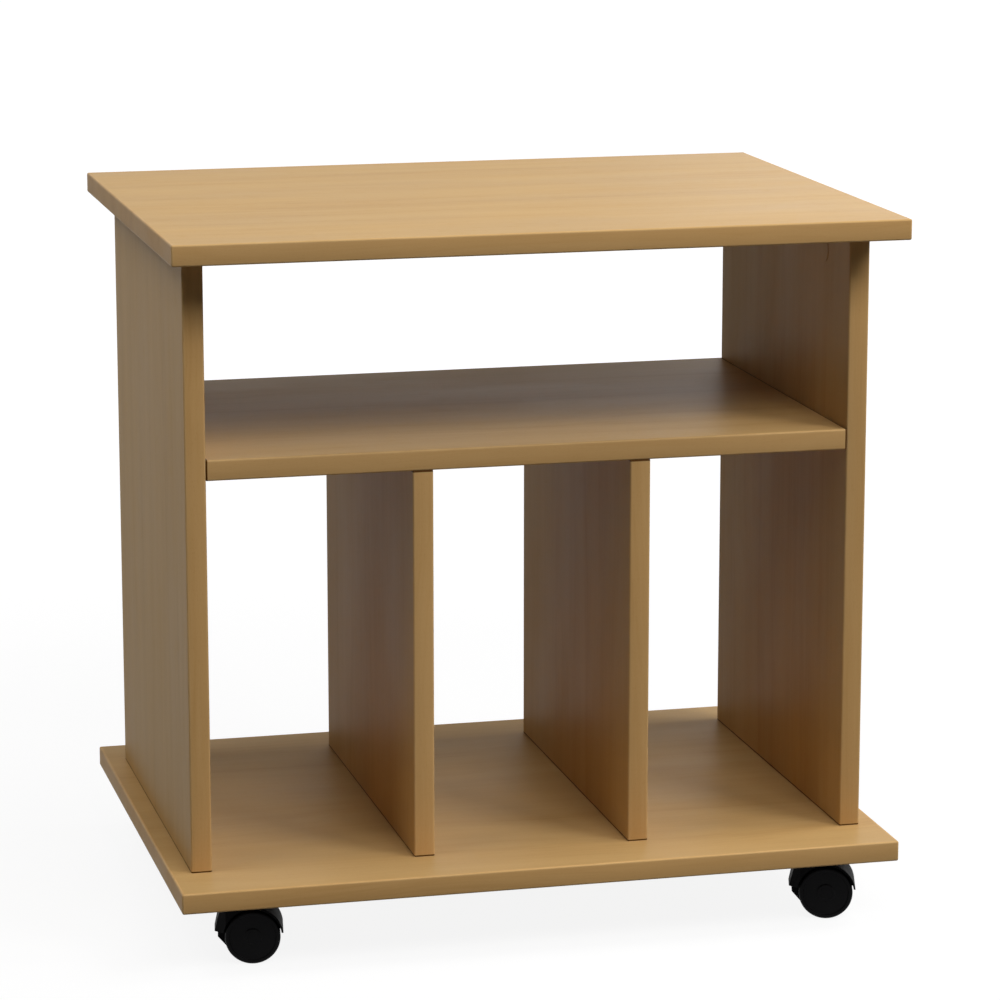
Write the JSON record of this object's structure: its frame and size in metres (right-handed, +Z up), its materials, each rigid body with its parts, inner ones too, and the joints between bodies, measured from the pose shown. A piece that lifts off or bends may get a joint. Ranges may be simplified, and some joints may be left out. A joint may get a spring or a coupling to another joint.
{
  "type": "audio rack",
  "caption": "Rolling audio rack in beech finish: overhanging top and bottom boards, side panels, an open upper compartment, a shelf and record bays below it, on twin-wheel swivel casters.",
  "frame": {"origin": "on the floor under the middle of the rack", "axes": "+X to the rack's right as seen from the front, +Y to its back, +Z up"},
  "size_m": [0.6, 0.45, 0.592],
  "materials": {
    "beech_board": "satin beech-decor melamine, fine grain along each board",
    "beech_edging": "satin beech-decor edge band with rounded corners",
    "dowel_wood": "raw turned beech",
    "zinc_fittings": "dull zinc",
    "cover_foil": "satin beech-decor stick-on foil",
    "steel": "bright zinc-plated",
    "washer_plastic": "natural nylon",
    "black_hood": "fine-grained moulded nylon",
    "black_wheel": "smooth moulded nylon, slightly glossier tread"
  },
  "bodies": {
    "rack": {"top_panel": "beech_board", "top_panel_edging": "beech_edging", "bottom_panel": "beech_board", "bottom_panel_edging": "beech_edging", "shelf": "beech_board", "shelf_edging": "beech_edging", "left_side_panel": "beech_board", "left_side_panel_edging": "beech_edging", "right_side_panel": "beech_board", "right_side_panel_edging": "beech_edging", "left_divider": "beech_board", "left_divider_edging": "beech_edging", "right_divider": "beech_board", "right_divider_edging": "beech_edging", "top_dowels": "dowel_wood", "shelf_dowels": "dowel_wood", "divider_dowels": "dowel_wood", "bottom_dowels": "dowel_wood", "top_cam_bolts": "zinc_fittings", "top_cam_locks": "zinc_fittings", "top_cam_covers": "cover_foil", "shelf_cam_bolts": "zinc_fittings", "shelf_cam_locks": "zinc_fittings", "shelf_cam_covers": "cover_foil", "panel_screws": "steel", "caster_screws": "steel", "front_left_caster_plate": "steel", "front_left_caster_pin": "steel", "front_left_caster_washer": "washer_plastic", "front_left_caster_snap_ring": "steel", "front_right_caster_plate": "steel", "front_right_caster_pin": "steel", "front_right_caster_washer": "washer_plastic", "front_right_caster_snap_ring": "steel", "back_left_caster_plate": "steel", "back_left_caster_pin": "steel", "back_left_caster_washer": "washer_plastic", "back_left_caster_snap_ring": "steel", "back_right_caster_plate": "steel", "back_right_caster_pin": "steel", "back_right_caster_washer": "washer_plastic", "back_right_caster_snap_ring": "steel"},
    "front_left_swivel": {"front_left_caster_hood": "black_hood", "front_left_caster_axle": "steel"},
    "front_left_left_wheel": {"front_left_caster_left_wheel": "black_wheel"},
    "front_left_right_wheel": {"front_left_caster_right_wheel": "black_wheel"},
    "front_right_swivel": {"front_right_caster_hood": "black_hood", "front_right_caster_axle": "steel"},
    "front_right_left_wheel": {"front_right_caster_left_wheel": "black_wheel"},
    "front_right_right_wheel": {"front_right_caster_right_wheel": "black_wheel"},
    "back_left_swivel": {"back_left_caster_hood": "black_hood", "back_left_caster_axle": "steel"},
    "back_left_left_wheel": {"back_left_caster_left_wheel": "black_wheel"},
    "back_left_right_wheel": {"back_left_caster_right_wheel": "black_wheel"},
    "back_right_swivel": {"back_right_caster_hood": "black_hood", "back_right_caster_axle": "steel"},
    "back_right_left_wheel": {"back_right_caster_left_wheel": "black_wheel"},
    "back_right_right_wheel": {"back_right_caster_right_wheel": "black_wheel"}
  },
  "joints": [
    {"name": "front_left_swivel", "type": "hinge", "parent": "rack", "child": "front_left_swivel", "pos_m": [-0.244, -0.174, 0], "axis": [0, 0, 1], "continuous": true},
    {"name": "front_left_left_wheel_spin", "type": "hinge", "parent": "front_left_swivel", "child": "front_left_left_wheel", "pos_m": [-0.23514, -0.17556, 0.0225], "axis": [0.1736, 0.9848, 0], "continuous": true},
    {"name": "front_left_right_wheel_spin", "type": "hinge", "parent": "front_left_swivel", "child": "front_left_right_wheel", "pos_m": [-0.23514, -0.17556, 0.0225], "axis": [0.1736, 0.9848, 0], "continuous": true},
    {"name": "front_right_swivel", "type": "hinge", "parent": "rack", "child": "front_right_swivel", "pos_m": [0.244, -0.174, 0], "axis": [0, 0, 1], "continuous": true},
    {"name": "front_right_left_wheel_spin", "type": "hinge", "parent": "front_right_swivel", "child": "front_right_left_wheel", "pos_m": [0.25261, -0.17663, 0.0225], "axis": [0.2924, 0.9563, 0], "continuous": true},
    {"name": "front_right_right_wheel_spin", "type": "hinge", "parent": "front_right_swivel", "child": "front_right_right_wheel", "pos_m": [0.25261, -0.17663, 0.0225], "axis": [0.2924, 0.9563, 0], "continuous": true},
    {"name": "back_left_swivel", "type": "hinge", "parent": "rack", "child": "back_left_swivel", "pos_m": [-0.244, 0.174, 0], "axis": [0, 0, 1], "continuous": true},
    {"name": "back_left_left_wheel_spin", "type": "hinge", "parent": "back_left_swivel", "child": "back_left_left_wheel", "pos_m": [-0.23509, 0.17275, 0.0225], "axis": [0.1392, 0.9903, 0], "continuous": true},
    {"name": "back_left_right_wheel_spin", "type": "hinge", "parent": "back_left_swivel", "child": "back_left_right_wheel", "pos_m": [-0.23509, 0.17275, 0.0225], "axis": [0.1392, 0.9903, 0], "continuous": true},
    {"name": "back_right_swivel", "type": "hinge", "parent": "rack", "child": "back_right_swivel", "pos_m": [0.244, 0.174, 0], "axis": [0, 0, 1], "continuous": true},
    {"name": "back_right_left_wheel_spin", "type": "hinge", "parent": "back_right_swivel", "child": "back_right_left_wheel", "pos_m": [0.25273, 0.17182, 0.0225], "axis": [0.2419, 0.9703, 0], "continuous": true},
    {"name": "back_right_right_wheel_spin", "type": "hinge", "parent": "back_right_swivel", "child": "back_right_right_wheel", "pos_m": [0.25273, 0.17182, 0.0225], "axis": [0.2419, 0.9703, 0], "continuous": true}
  ]
}
